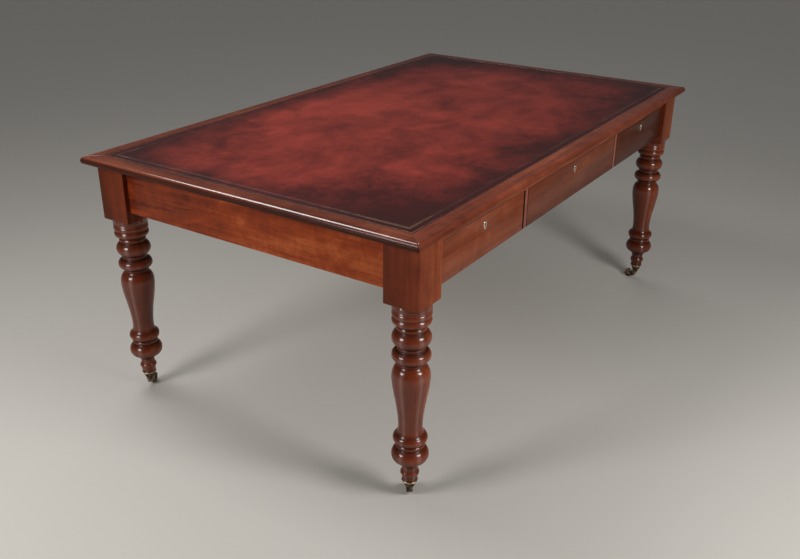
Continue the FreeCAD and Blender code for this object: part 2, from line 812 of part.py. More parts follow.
# The whole desk
def main():
    os.makedirs("parts", exist_ok=True)
    save("top_board", top_board())
    save("top_border", *top_border())
    save("writing_leather", writing_leather())
    save("top_screws", *[screw(x, y) for x, y in screw_places()])

    front_left_leg = leg()
    cup = castor_cup()
    fork = castor_fork()
    wheel = castor_wheel()
    for y_name, y_side in (("front", -1), ("back", 1)):
        for x_name, x_side in (("left", -1), ("right", 1)):
            corner = y_name + "_" + x_name
            save("leg_" + corner, mirrored(front_left_leg, x_side, y_side))
            save("castor_cup_" + corner, moved(cup, x_side * leg_x, y_side * leg_y))
            fork_here = [placed_castor(solid, corner, x_side, y_side) for solid in fork]
            save("castor_fork_" + corner, *fork_here)
            save("castor_wheel_" + corner, placed_castor(wheel, corner, x_side, y_side))

    save("end_rail_left", end_rail())
    save("end_rail_right", half_turn(end_rail()))
    save("top_rail_front", top_rail())
    save("top_rail_back", half_turn(top_rail()))
    save("bottom_rail_front", bottom_rail())
    save("bottom_rail_back", half_turn(bottom_rail()))
    left = divider()
    right = left.mirror(ORIGIN, FreeCAD.Vector(1, 0, 0))
    save("drawer_dividers", left, right, half_turn(left), half_turn(right))
    save("centre_rail", centre_rail())
    save("drawer_runners", *(runners() + guides()))
    save("kickers", *kickers())

    opposite = {"left": "right", "middle": "middle", "right": "left"}
    for place, (x, opening) in drawer_places.items():
        facing = drawer_facing(x, opening)
        sides_and_back = drawer_box(x, opening)
        bottom = drawer_bottom(x, opening)
        lock = [lock_case(x), keyhole_plate(x)]
        bolt = lock_bolt(x)
        save("drawer_facing_front_" + place, facing)
        save("drawer_box_front_" + place, *sides_and_back)
        save("drawer_bottom_front_" + place, bottom)
        save("lock_front_" + place, *lock)
        save("lock_bolt_front_" + place, bolt)
        back_place = opposite[place]
        save("drawer_facing_back_" + back_place, half_turn(facing))
        save("drawer_box_back_" + back_place, *[half_turn(solid) for solid in sides_and_back])
        save("drawer_bottom_back_" + back_place, half_turn(bottom))
        save("lock_back_" + back_place, *[half_turn(solid) for solid in lock])
        save("lock_bolt_back_" + back_place, half_turn(bolt))


main()
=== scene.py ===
import json
import math

import bmesh
import bpy
import numpy as np
from mathutils import Matrix, Vector

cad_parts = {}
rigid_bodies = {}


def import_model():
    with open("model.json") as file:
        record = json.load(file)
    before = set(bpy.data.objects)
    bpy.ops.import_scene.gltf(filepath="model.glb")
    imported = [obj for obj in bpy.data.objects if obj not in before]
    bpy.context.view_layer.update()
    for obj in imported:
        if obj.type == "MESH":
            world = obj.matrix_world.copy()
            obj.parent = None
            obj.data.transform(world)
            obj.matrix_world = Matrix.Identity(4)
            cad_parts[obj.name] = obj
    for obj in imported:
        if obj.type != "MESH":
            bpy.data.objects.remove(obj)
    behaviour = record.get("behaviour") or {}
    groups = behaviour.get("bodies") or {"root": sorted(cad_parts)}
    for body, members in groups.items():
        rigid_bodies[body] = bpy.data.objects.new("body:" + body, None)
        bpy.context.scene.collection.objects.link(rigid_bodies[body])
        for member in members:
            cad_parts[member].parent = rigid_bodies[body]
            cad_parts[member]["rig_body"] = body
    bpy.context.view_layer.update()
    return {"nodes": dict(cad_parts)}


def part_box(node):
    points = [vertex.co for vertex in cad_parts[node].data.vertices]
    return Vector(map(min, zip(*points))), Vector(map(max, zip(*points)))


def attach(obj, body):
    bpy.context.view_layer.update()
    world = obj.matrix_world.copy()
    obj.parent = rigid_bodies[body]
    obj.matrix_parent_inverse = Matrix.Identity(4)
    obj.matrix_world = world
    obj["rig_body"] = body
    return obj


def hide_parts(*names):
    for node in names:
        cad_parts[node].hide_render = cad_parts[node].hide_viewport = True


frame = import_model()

# A partners writing desk: a leather-lined top with a moulded border, rails between square
# leg blocks, three drawers on each long side, and turned legs on brass castors. Metres,
# +Z up, origin on the floor under the middle of the desk; the front is at -Y.

scene = bpy.context.scene
scene.view_settings.view_transform = "Standard"

# The camera. Its place comes from a pinhole fitted to the desk's straight edges in the
# photograph: it stands off the front left corner, at twice the desk's height.
camera_place = Vector((-2.43811, -1.51095, 1.51512))
camera_azimuth = math.radians(-56.627)
camera_elevation = math.radians(24.999)
camera_roll = math.radians(0.466)
focal_px = 899.37
frame_width_px = 800
sensor_width_mm = 36.0

camera_back = Vector((
    math.sin(camera_azimuth) * math.cos(camera_elevation),
    -math.cos(camera_azimuth) * math.cos(camera_elevation),
    math.sin(camera_elevation),
))
level_right = Vector((0, 0, 1)).cross(camera_back).normalized()
level_up = camera_back.cross(level_right)
camera_right = level_right * math.cos(camera_roll) + level_up * math.sin(camera_roll)
camera_up = level_up * math.cos(camera_roll) - level_right * math.sin(camera_roll)

camera = bpy.data.cameras.new("camera")
camera.sensor_fit = "HORIZONTAL"
camera.sensor_width = sensor_width_mm
camera.lens = focal_px * sensor_width_mm / frame_width_px
camera_stand = bpy.data.objects.new("camera", camera)
camera_turn = Matrix((camera_right, camera_up, camera_back)).transposed().to_4x4()
camera_stand.matrix_world = Matrix.Translation(camera_place) @ camera_turn
scene.collection.objects.link(camera_stand)
scene.camera = camera_stand

# The studio: a plain floor, and surroundings that brighten only at the horizon. Two soft
# lamps give the pair of highlights on every turned member, one hanging over the near end
# gives the line of light along the top's edge, and two broad ones fill the shadows.
floor_reach = 60.0
floor_colour = (0.390, 0.370, 0.338, 1)
floor_roughness = 0.85
floor_sheen = 0.2
horizon_pale = (0.42, 0.42, 0.41)
horizon_top = 0.055
surroundings = (0.055, 0.056, 0.060)
near_lamps = {
    "left_lamp": ((-3.00, 0.75, 1.70), (-0.80, 0.10, 0.50), 0.95, 1.15, 56.0),
    "right_lamp": ((-0.60, -2.45, 1.75), (-0.60, -0.50, 0.50), 0.85, 1.00, 54.0),
    "over_lamp": ((-0.80, 1.15, 2.56), (-0.70, -0.15, 0.87), 0.85, 1.35, 28.0),
}
fill_lamps = {
    "overhead_fill": ((-0.6, -0.4, 4.0), 120.0, 0.40),
    "back_fill": ((2.2, 2.6, 2.6), 60.0, 0.7),
}

floor_mesh = bpy.data.meshes.new("floor")
floor_corners = np.array([(-1, -1, 0), (1, -1, 0), (1, 1, 0), (-1, 1, 0)]) * floor_reach
floor_mesh.from_pydata(floor_corners.tolist(), [], [(0, 1, 2, 3)])
floor = bpy.data.objects.new("floor", floor_mesh)
scene.collection.objects.link(floor)
floor_finish = bpy.data.materials.new("floor")
floor_finish.use_nodes = True
floor_shader = floor_finish.node_tree.nodes["Principled BSDF"]
floor_shader.inputs["Base Color"].default_value = floor_colour
floor_shader.inputs["Roughness"].default_value = floor_roughness
floor_shader.inputs["Specular IOR Level"].default_value = floor_sheen
floor_mesh.materials.append(floor_finish)

world = bpy.data.worlds.new("studio")
world.use_nodes = True
tree = world.node_tree
direction = tree.nodes.new("ShaderNodeTexCoord")
split = tree.nodes.new("ShaderNodeSeparateXYZ")
rise = tree.nodes.new("ShaderNodeValToRGB")
rise.color_ramp.elements[0].color = (*horizon_pale, 1)
rise.color_ramp.elements[1].position = horizon_top
rise.color_ramp.elements[1].color = (*surroundings, 1)
tree.links.new(direction.outputs["Generated"], split.inputs[0])
tree.links.new(split.outputs["Z"], rise.inputs[0])
tree.links.new(rise.outputs["Color"], tree.nodes["Background"].inputs["Color"])
scene.world = world


def hang_lamp(name, lamp, place, aim, glints):
    """Puts a lamp in the studio with its face turned to the aim. A fill shows no glint."""
    lamp_stand = bpy.data.objects.new(name, lamp)
    facing = (Vector(aim) - Vector(place)).to_track_quat("-Z", "Y").to_matrix().to_4x4()
    lamp_stand.matrix_world = Matrix.Translation(place) @ facing
    lamp_stand.visible_camera = False
    lamp_stand.visible_glossy = glints
    scene.collection.objects.link(lamp_stand)


for name, (place, aim, width, height, power) in near_lamps.items():
    lamp = bpy.data.lights.new(name, "AREA")
    lamp.shape = "ELLIPSE"
    lamp.size = width
    lamp.size_y = height
    lamp.energy = power
    hang_lamp(name, lamp, place, aim, True)
for name, (place, spread, strength) in fill_lamps.items():
    lamp = bpy.data.lights.new(name, "SUN")
    lamp.angle = math.radians(spread)
    lamp.energy = strength
    hang_lamp(name, lamp, place, (0, 0, 0), False)


# The writing leather: one hide glued into the well of the top, its edge rolled down against
# the border. It is hand-dyed oxblood, darkened almost to black round the margin, and
# polished. Three tooled lines are pressed in round it, and their floors are gilt.
leather_low, leather_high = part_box("writing_leather")
leather_margin = (0.034, 0.010, 0.009)
leather_dark = (0.048, 0.010, 0.009)
leather_red = (0.145, 0.021, 0.015)
leather_bright = (0.270, 0.038, 0.025)
# Where the painted pool of light on the leather is brightest along Y; across X it is brightest in
# the middle.
light_pool_y = 0.15
margin_reach = 0.115
corner_reach = 0.30
pebble_scale = 900.0
leather_relief = 0.00010
handled_reach = (0.02, 0.30)
gilt_worn = (0.055, 0.022, 0.018)
gilt_leaf = (0.52, 0.30, 0.16)
leather_sink = 0.00015
leather_roll = 0.0009
tooled_lines = {
    "margin_fillet": (0.0045, 0.0007),
    "gilt_fillet": (0.0225, 0.0009),
    "fine_fillet": (0.0270, 0.0005),
}
tooled_depth = 0.00018
tooled_margin = 0.030
gilt_thickness = 0.00006
undulation = 0.00010
undulation_waves = ((7.1, 3.9, 0.4), (-4.3, 9.7, 2.1), (13.9, 5.3, 4.0), (3.1, -15.7, 1.2))
roll_points = 6
line_points = 9
field_points = 72


class Tint:
    """A value in a finish. Arithmetic on it adds the Math nodes that work it out."""

    def __init__(self, finish, socket):
        self.finish = finish
        self.socket = socket

    def math(self, operation, *values):
        """One Math node on those values."""
        inputs = dict(enumerate(values))
        return self.finish.node("ShaderNodeMath", {"operation": operation}, inputs)

    def __add__(self, other):
        return self.math("ADD", self, other)

    def __sub__(self, other):
        return self.math("SUBTRACT", self, other)

    def __rsub__(self, other):
        return self.math("SUBTRACT", other, self)

    def __mul__(self, other):
        return self.math("MULTIPLY", self, other)

    def __truediv__(self, other):
        return self.math("DIVIDE", self, other)

    def __pow__(self, other):
        return self.math("POWER", self, other)

    __radd__ = __add__
    __rmul__ = __mul__

    def __abs__(self):
        return self.math("ABSOLUTE", self)

    def clipped(self):
        """The value kept between 0 and 1."""
        return self.math("MINIMUM", self.math("MAXIMUM", self, 0.0), 1.0)

    def between(self, low, high):
        """0 below low, 1 above high, and a straight ramp from one to the other."""
        return ((self - low) / (high - low)).clipped()


class Finish:
    """A material round one Principled shader, whose steady values are set on its sockets."""

    def __init__(self, name, **steady):
        self.material = bpy.data.materials.new(name)
        self.material.use_nodes = True
        self.tree = self.material.node_tree
        self.shader = self.tree.nodes["Principled BSDF"]
        self.set(**steady)

    def feed(self, socket, value):
        """Links a worked-out value to a socket, or sets a plain one on it."""
        if isinstance(value, Tint):
            self.tree.links.new(value.socket, socket)
        else:
            socket.default_value = value

    def node(self, kind, settings, inputs, output=0):
        """Adds a node of that kind: settings first, then its sockets by name or number."""
        made = self.tree.nodes.new(kind)
        for name, value in settings.items():
            if name == "stops":
                self.set_stops(made.color_ramp, value)
            else:
                setattr(made, name, value)
        for name, value in inputs.items():
            self.feed(made.inputs[name], value)
        return Tint(self, made.outputs[output])

    def set_stops(self, ramp, stops):
        """Gives a ramp its stops: each is a place from 0 to 1, and the colour there."""
        while len(ramp.elements) < len(stops):
            ramp.elements.new(1.0)
        for element, (place, colour) in zip(ramp.elements, stops):
            element.position = place
            element.color = (*colour, 1.0)

    def place(self, scale, shift=(0.0, 0.0, 0.0)):
        """Object coordinates, stretched by scale along each axis and then shifted."""
        point = self.node("ShaderNodeTexCoord", {}, {}, "Object")
        inputs = {"Vector": point, "Scale": scale, "Location": shift}
        return self.node("ShaderNodeMapping", {}, inputs)

    def noise(self, point, scale=1.0, detail=2.0, roughness=0.5, distortion=0.0):
        """Fractal noise at a point, between 0 and 1 and mostly near a half."""
        inputs = {"Vector": point, "Scale": scale, "Detail": detail, "Roughness": roughness}
        return self.node("ShaderNodeTexNoise", {}, {**inputs, "Distortion": distortion})

    def ramp(self, value, stops):
        """The colour that the stops give a value."""
        return self.node("ShaderNodeValToRGB", {"stops": stops}, {0: value})

    def mix(self, share, first, second):
        """The first colour where share is 0 and the second where it is 1."""
        inputs = {0: share, 6: self.colour(first), 7: self.colour(second)}
        return self.node("ShaderNodeMix", {"data_type": "RGBA"}, inputs, 2)

    def colour(self, value):
        """A colour's own three numbers get their alpha; one worked out by nodes has it."""
        return value if isinstance(value, Tint) else (*value, 1.0)

    def coordinate(self, axis):
        """The distance from the desk's origin along X, Y or Z."""
        point = self.node("ShaderNodeTexCoord", {}, {}, "Object")
        return self.node("ShaderNodeSeparateXYZ", {}, {0: point}, axis)

    def bump(self, height, distance):
        """Fine relief: a height from 0 to 1, times a distance in metres."""
        inputs = {"Height": height, "Distance": distance}
        self.set(Normal=self.node("ShaderNodeBump", {}, inputs))

    def set(self, **values):
        """Feeds the shader's own sockets, named with _ for each space."""
        for socket, value in values.items():
            self.feed(self.shader.inputs[socket.replace("_", " ")], value)


def leather_finish():
    """Red where the dye is thin and near black round the margin, by half the harmonic mean of
    the distances to the edges, less a share near a corner, with clouds of noise in it. The
    red also falls off with the squared distance from a place near the middle, which is a
    painted pool of light. Pebbled by fine cells; glossy, and duller where it is rubbed."""
    finish = Finish("leather", Coat_Weight=0.40, Coat_Roughness=0.24, Specular_IOR_Level=0.08)
    x = finish.coordinate("X")
    y = finish.coordinate("Y")
    in_x = leather_high.x - abs(x)
    in_y = leather_high.y - abs(y)
    inset = in_x * in_y / (in_x + in_y)
    off_y = y - light_pool_y
    clouds = finish.noise(finish.place((3.4, 4.6, 1.0)), 1.0, 3.0, 0.55, 0.6)
    smudges = finish.noise(finish.place((9.0, 10.0, 1.0), (3.0, 1.0, 0.0)), 1.0, 4.0, 0.6, 0.5)
    mottle = finish.noise(finish.place((38.0, 46.0, 1.0), (0.0, 4.0, 0.0)), 1.0, 5.0, 0.68, 0.4)
    grain = finish.noise(finish.place((1.0, 1.0, 1.0)), 210.0, 4.0, 0.6)
    corner = inset.math("MAXIMUM", corner_reach - in_x - in_y, 0.0)
    blur = (clouds - 0.5) * 0.07 + (smudges - 0.5) * 0.05 + (mottle - 0.5) * 0.04
    red_share = (inset - corner * 0.18 + blur).between(0.0, margin_reach) ** 0.85
    tone = clouds * 0.42 + smudges * 0.34 + mottle * 0.20 + grain * 0.20 - 0.08
    # Painted light: the red is lifted most round the pool's middle and falls off towards the ends
    # and sides.
    tone = (tone + 0.065 - x * x * 0.14 - off_y * off_y * 0.375).between(0.34, 0.66)
    red = finish.ramp(tone, [(0.0, leather_dark), (0.45, leather_red), (1.0, leather_bright)])
    colour = finish.mix(red_share, leather_margin, red)
    pebbles = {"Vector": finish.place((1.0, 1.0, 1.0)), "Scale": pebble_scale}
    cells = finish.node("ShaderNodeTexVoronoi", {}, pebbles)
    rub = finish.noise(finish.place((4.0, 5.0, 1.0), (0.0, 7.0, 0.0)), 1.0, 3.0)
    finish.set(Base_Color=colour, Roughness=0.26 + rub * 0.14)
    finish.bump(cells * 0.4 + grain * 0.6, leather_relief)
    return finish.material


def gilt_finish():
    """Gold leaf with the dark leather showing where it has worn through, most of all along
    the edges, where arms rest, and least in the corners."""
    finish = Finish("gilt")
    wear = finish.noise(finish.place((1.0, 1.0, 1.0), (0.0, 0.0, 5.0)), 55.0, 3.0, 0.6)
    far_wear = finish.noise(finish.place((1.0, 1.0, 1.0)), 6.0, 2.0)
    in_x = leather_high.x - abs(finish.coordinate("X"))
    in_y = leather_high.y - abs(finish.coordinate("Y"))
    handled = in_x.math("MAXIMUM", in_x, in_y).between(*handled_reach) * 0.13
    leaf = (wear * 0.6 + far_wear * 0.4 - handled).between(0.40, 0.58)
    finish.set(Base_Color=finish.mix(leaf * 0.9, gilt_worn, gilt_leaf))
    finish.set(Metallic=leaf * 0.25, Roughness=0.50 - leaf * 0.12)
    return finish.material


def grid_faces(rows, columns, wrap=False):
    """Quads between neighbouring points of a rows by columns grid; with wrap, also from the
    last column to the first."""
    row, column = np.ogrid[:rows - 1, :columns if wrap else columns - 1]
    start, after = row * columns, (column + 1) % columns
    corners = [start + column, start + after, start + columns + after, start + columns + column]
    return np.stack(corners, -1).reshape(-1, 4).tolist()


def make_piece(name, points, faces, body, slot, material, smooth=True):
    """A mesh in the desk's own frame, its faces turned outwards, riding on a body."""
    mesh = bpy.data.meshes.new(name)
    mesh.from_pydata(np.reshape(points, (-1, 3)).tolist(), [], faces)
    shell = bmesh.new()
    shell.from_mesh(mesh)
    bmesh.ops.recalc_face_normals(shell, faces=shell.faces)
    shell.to_mesh(mesh)
    shell.free()
    mesh.polygons.foreach_set("use_smooth", [smooth] * len(mesh.polygons))
    mesh.materials.append(material)
    piece = bpy.data.objects.new(name, mesh)
    scene.collection.objects.link(piece)
    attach(piece, body)
    return piece


def tooled_dip(inset):
    """Depth of the tooled lines at a distance from the edge: a rounded trough for each."""
    dip = np.zeros_like(inset)
    for centre, width in tooled_lines.values():
        across = np.clip(np.abs(inset - centre) / width, 0, 1)
        dip = np.maximum(dip, tooled_depth * (1 - across ** 4))
    return dip


def leather_stations(half):
    """Places across the hide from edge to edge, close together in the rolled edge and at each
    tooled line, and even across the field."""
    edge = leather_roll * np.linspace(0, 1, roll_points) ** 2
    across = np.linspace(-1, 1, line_points)
    lines = [centre + width * across for centre, width in tooled_lines.values()]
    near = np.unique(np.concatenate([edge, *lines, [tooled_margin]]))
    field = np.linspace(-half + tooled_margin, half - tooled_margin, field_points)[1:-1]
    return np.concatenate([-half + near, field, (half - near)[::-1]])


def leather_height(x, y):
    """Level of the hide: a quarter-round roll at its edge, the tooled troughs, and a slow
    undulation of summed sines over the field."""
    inset = np.minimum(leather_high.x - np.abs(x), leather_high.y - np.abs(y))
    short = np.clip(leather_roll - inset, 0, leather_roll)
    roll = leather_roll - np.sqrt(leather_roll ** 2 - short ** 2)
    waves = sum(np.sin(a * x + b * y + c) for a, b, c in undulation_waves) / len(undulation_waves)
    field = np.clip((inset - tooled_margin) / tooled_margin, 0, 1)
    top = leather_high.z - leather_sink - undulation
    return top - roll - tooled_dip(inset) + undulation * waves * field


def leather_hide():
    """The top as a grid of its stations, a skirt straight down from its rim, and one face
    below that closes it."""
    stations = leather_stations(leather_high.x), leather_stations(leather_high.y)
    x, y = np.meshgrid(*stations, indexing="ij")
    top = np.stack([x, y, leather_height(x, y)], -1).reshape(-1, 3)
    index = np.arange(x.size).reshape(x.shape)
    rim = np.concatenate([index[0, :-1], index[:-1, -1], index[-1, :0:-1], index[:0:-1, 0]])
    foot = top[rim] * (1, 1, 0) + (0, 0, leather_low.z)
    foot_rim = x.size + np.arange(len(rim))
    skirt = np.stack([rim, np.roll(rim, -1), np.roll(foot_rim, -1), foot_rim], -1)
    faces = grid_faces(*x.shape) + skirt.tolist() + [foot_rim.tolist()]
    return np.concatenate([top, foot]), faces


def gilt_strip(centre, width):
    """A flat band round the hide on the floor of one tooled line, mitred at the corners: the
    corners' signs times what is left of the half lengths at each inset of the section."""
    trough_floor = leather_high.z - leather_sink - undulation - tooled_depth
    inset = centre + width * np.array([-0.5, 0.5, 0.5, -0.5])
    level = trough_floor + gilt_thickness * np.array([0, 0, 1, 1])
    corners = np.array([(-1, -1), (1, -1), (1, 1), (-1, 1)])[:, None]
    across = corners * (np.array([leather_high.x, leather_high.y]) - inset[:, None])
    points = np.concatenate([across, np.broadcast_to(level[:, None], (4, 4, 1))], -1)
    index = np.arange(16).reshape(4, 4)
    after = np.roll(index, -1, 0)
    faces = np.stack([index, after, np.roll(after, -1, 1), np.roll(index, -1, 1)], -1)
    return points, faces.reshape(-1, 4).tolist()


leather = make_piece("leather_hide", *leather_hide(), "desk", "leather", leather_finish())
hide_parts("writing_leather")
gilt = gilt_finish()
for line, (centre, width) in tooled_lines.items():
    make_piece(line, *gilt_strip(centre, width), "desk", "leather", gilt, smooth=False)


# The moulded border: four lengths of mahogany, mitred at the corners. Each is flat beside
# the leather, then rounded over in a thumb that catches the light, then a narrow fillet
# with knocked arrises, and an ovolo that falls back to the underside.
border_low, border_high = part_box("top_border")
border_width = border_high.x - leather_high.x
thumb_reach = 0.0130
ovolo_reach = 0.0080
ovolo_height = 0.0085
fillet_height = 0.0020
fillet_ledge = 0.0006
fillet_ease = 0.0004
inner_ease = 0.0004
border_pitch = 0.0040
thumb_points = 20
ovolo_points = 12
waver_waves = ((3.7, 1.3), (9.1, 4.1), (17.3, 0.2), (33.1, 2.9))
waver = 0.00012
border_colours = ((0.060, 0.012, 0.005), (0.200, 0.042, 0.018), (0.380, 0.100, 0.040))
border_polish_ior = 1.65
polish_roughness = 0.15
under_polish = 0.06
dry_roughness = 0.32
pore_colour = (0.030, 0.008, 0.004)
polish_relief = 0.00010
# Painted shade under the thumb: the fillet and ovolo below it are darkened towards this colour,
# and their coat is thinned.
thumb_shade_colour = (0.018, 0.005, 0.003)
thumb_shade_gloss = 0.04
thumb_shade_low = 0.7552
thumb_shade_high = 0.7586
# Near black in the turnings' hollows: partly old finish gone dark and partly painted shade.
hollow_shade_colour = (0.008, 0.002, 0.001)
lathe_level = 0.36
lathe_roughness = 0.38
lathe_turn = 0.25
# Painted shade in the gaps beside the drawers: the dividers' sides there are darkened to this
# colour.
cheek_shade_colour = (0.010, 0.003, 0.002)
knock_pitch = 0.035
knock_depth = 0.0007
knock_reach = 0.0035


class Timber(Finish):
    """A finish on wood whose grain runs along one axis. The shift takes each board to a
    place of its own in the pattern."""

    def __init__(self, name, along, shift, **steady):
        super().__init__(name, **steady)
        self.along = along
        self.shift = shift

    def drawn_out(self, long_scale, cross_scale, jog, detail, roughness=0.5, distortion=0.0):
        """Noise with one scale along the grain and another across it. The jog sets it apart
        from the other noises of the same wood."""
        scale = [cross_scale] * 3
        scale[self.along] = long_scale
        point = self.place(scale, tuple(part + jog for part in self.shift))
        return self.noise(point, 1.0, detail, roughness, distortion)


def mahogany(name, along, shift, colours, figure=1.0, bias=0.0, shade_drifts=(), gloss=0.25,
             spread=0.17, polish_ior=1.5, sheen=None, thumb_shade=0.0, cheek_shades=None):
    """French-polished mahogany. Its tone mixes broad clouds, long stripes, fine streaks and
    curl, all stretched along the grain, and may drift lighter or darker along an axis, which is
    painted light and shade; short dark pores lie in it. Turned work has the lathe's sheen, drawn
    out up and down it, and is near black in its hollows, partly old finish gone dark and partly
    painted shade. On the border's moulding the colour below the thumb is painted shade, with a
    thin coat, and on the dividers the faces beside the drawers are darkened with painted shade."""
    finish = Timber(name, along, shift, Coat_Weight=gloss, Coat_Roughness=polish_roughness,
                    Coat_IOR=polish_ior, Specular_IOR_Level=under_polish)
    clouds = finish.drawn_out(2.4, 8.0, 0.0, 4.0, 0.6, 0.9 * figure)
    stripes = finish.drawn_out(1.3, 34.0, 3.0, 4.0, 0.6, 0.35 * figure)
    streaks = finish.drawn_out(7.0, 260.0, 5.0, 3.0, 0.6)
    curl = finish.drawn_out(20.0, 11.0, 8.0, 3.0, 0.6, 0.8 * figure)
    tone = clouds * 0.38 + stripes * 0.28 + streaks * 0.18 + curl * 0.16
    for axis, slope, origin in shade_drifts:
        tone = tone + (finish.coordinate(axis) - origin) * slope
    tone = (tone + bias).between(0.5 - spread, 0.5 + spread)
    colour = finish.ramp(tone, list(zip((0.0, 0.5, 1.0), colours)))
    pores = finish.drawn_out(45.0, 1500.0, 2.0, 1.0).between(0.60, 0.70)
    colour = finish.mix(pores * 0.5, colour, pore_colour)
    haze = finish.drawn_out(6.0, 9.0, 1.0, 3.0)
    dullness = dry_roughness
    # Turned work: the hollows are darkened, partly as old finish gone dark and partly as painted
    # shade.
    if sheen:
        hollow = finish.node("ShaderNodeAttribute", {"attribute_name": "hollow"}, {}, "Fac")
        dark_polish_and_shade = (hollow + (haze - 0.5) * 0.3).clipped()
        colour = finish.mix(dark_polish_and_shade * 0.9, colour, hollow_shade_colour)
        dullness = hollow * 0.45 + lathe_roughness
        finish.set(Coat_Weight=gloss - hollow * gloss, Specular_IOR_Level=lathe_level,
                   Specular_Tint=(*sheen, 1.0), Anisotropic=1.0,
                   Anisotropic_Rotation=lathe_turn)
    # Painted shade: below the thumb the colour is darkened and the coat thinned.
    if thumb_shade:
        low = 1 - finish.coordinate("Z").between(thumb_shade_low, thumb_shade_high)
        colour = finish.mix(low * thumb_shade, colour, thumb_shade_colour)
        finish.set(Coat_Weight=gloss - low * (gloss - thumb_shade_gloss))
    # Painted shade: the divider faces in the gaps beside the drawers are darkened.
    if cheek_shades:
        middle, cheek_shade_low, cheek_shade_high = cheek_shades
        beside = abs(abs(finish.coordinate("X")) - middle)
        colour = finish.mix(beside.between(cheek_shade_low, cheek_shade_high), colour, cheek_shade_colour)
    finish.set(Base_Color=colour, Roughness=haze * 0.16 + dullness)
    finish.bump(pores * -0.5 + streaks * 0.3 + haze * 0.4, polish_relief)
    return finish.material


def quarter(start, end, count, level_first):
    """A quarter ellipse from start to end, as inset and level: the sine of the angle gives
    the share of one, and 1 less its cosine the share of the other. It leaves start level and
    reaches end upright, or the other way about."""
    angle = np.linspace(0, math.pi / 2, count)
    shares = np.stack([np.sin(angle), 1 - np.cos(angle)], -1)
    if not level_first:
        shares = shares[:, ::-1]
    return np.array(start) + (np.array(end) - start) * shares


def border_section():
    """Closed outline of the border as inset and level, from the leather outwards: flat,
    thumb, ledge, fillet with eased arrises, ledge, ovolo, underside."""
    top, bottom = border_high.z, border_low.z
    fillet_low = bottom + ovolo_height
    fillet_high = fillet_low + fillet_height
    thumb = quarter((thumb_reach, top), (fillet_ledge, fillet_high), thumb_points, True)
    fillet = [
        (fillet_ledge - fillet_ease / 2, fillet_high),
        (fillet_ease / 4, fillet_high - fillet_ease / 4),
        (0, fillet_high - fillet_ease),
        (0, (fillet_low + fillet_high) / 2),
        (0, fillet_low + fillet_ease),
        (fillet_ease / 4, fillet_low + fillet_ease / 4),
        (fillet_ledge - fillet_ease / 2, fillet_low),
    ]
    ovolo = quarter((fillet_ledge, fillet_low), (ovolo_reach, bottom), ovolo_points, False)
    flats = [
        (ovolo_reach + inner_ease, bottom),
        (border_width, bottom),
        (border_width, top - inner_ease),
        (border_width - inner_ease, top),
        (border_width - 3 * inner_ease, top),
        (thumb_reach + 3 * inner_ease, top),
        (thumb_reach + inner_ease, top),
    ]
    return np.concatenate([thumb, fillet, ovolo, flats])


def knocks(along, seed):
    """Depth of the small dents along the fillet: one near each of a row of jogged places,
    each a narrow bell, most of them slight and a few deep."""
    draw = np.random.default_rng(seed)
    reach = float(np.max(np.abs(along)))
    places = np.arange(-reach, reach, knock_pitch)
    places = places + draw.uniform(-0.5, 0.5, len(places)) * knock_pitch
    depth = knock_depth * draw.uniform(0, 1, len(places)) ** 3
    width = knock_reach * draw.uniform(0.4, 1, len(places))
    bells = depth * np.exp(-((along[..., None] - places) / width) ** 2)
    return bells.sum(-1)


def border_length(half_length, half_across, seed):
    """A length along X at -Y. Each point of the section runs along X by a share of its own
    half length, so the two ends lie on the mitres. Its outer edge wavers by a sum of sines
    and has knocks in it, and both fade out at the mitres."""
    section = border_section()
    stations = int(2 * half_length / border_pitch)
    share = np.linspace(-1, 1, stations)[:, None]
    along = share * (half_length - section[:, 0])
    waves = sum(np.sin(k * along + c) for k, c in waver_waves) / len(waver_waves)
    fillet_middle = border_low.z + ovolo_height + fillet_height / 2
    near_edge = section[:, 0] < thumb_reach - inner_ease
    near_fillet = np.exp(-((section[:, 1] - fillet_middle) / fillet_height) ** 2) * near_edge
    worn = waver * (1 + waves) * near_edge + knocks(along, seed) * near_fillet
    inset = section[:, 0] + worn * (1 - share ** 8)
    return np.stack([along, -half_across + inset, np.broadcast_to(section[:, 1], along.shape)], -1)


def closed_bar(rings):
    """Faces of a bar whose rings run one after another, with a flat cap on each end."""
    count, around = rings.shape[:2]
    ends = [list(range(around)), list(range((count - 1) * around, count * around))]
    return rings, grid_faces(count, around, wrap=True) + ends


def quarter_turned(points, turns):
    """Points turned about Z by a number of right angles."""
    cosine, sine = math.cos(turns * math.pi / 2), math.sin(turns * math.pi / 2)
    return points @ np.array([[cosine, sine, 0], [-sine, cosine, 0], [0, 0, 1]])


def toned(tone, colours):
    """The same colours, each made darker by the tone."""
    return [tuple(tone * part for part in colour) for colour in colours]


half_length, half_width = border_high.x, border_high.y
# The last column is how much painted shade lies under the thumb: heavy on the two ends, light
# along the front and back.
border_runs = {
    "border_front": (half_length, half_width, 0, 0, (0.0, 0.0, 0.0), 0.85, 0.15),
    "border_right": (half_width, half_length, 1, 1, (2.0, 0.0, 0.0), 0.60, 0.80),
    "border_back": (half_length, half_width, 2, 0, (0.0, 5.0, 0.0), 0.65, 0.15),
    "border_left": (half_width, half_length, 3, 1, (1.0, 3.0, 0.0), 0.58, 0.80),
}
for name, (half, across, turns, along, shift, tone, thumb_shade) in border_runs.items():
    rings = quarter_turned(border_length(half, across, turns), turns)
    wood = mahogany(name + "_wood", along, shift, toned(tone, border_colours), gloss=1.00,
                    polish_ior=border_polish_ior, thumb_shade=thumb_shade)
    length = make_piece(name, *closed_bar(rings), "desk", "mahogany", wood)
    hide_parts("top_border")


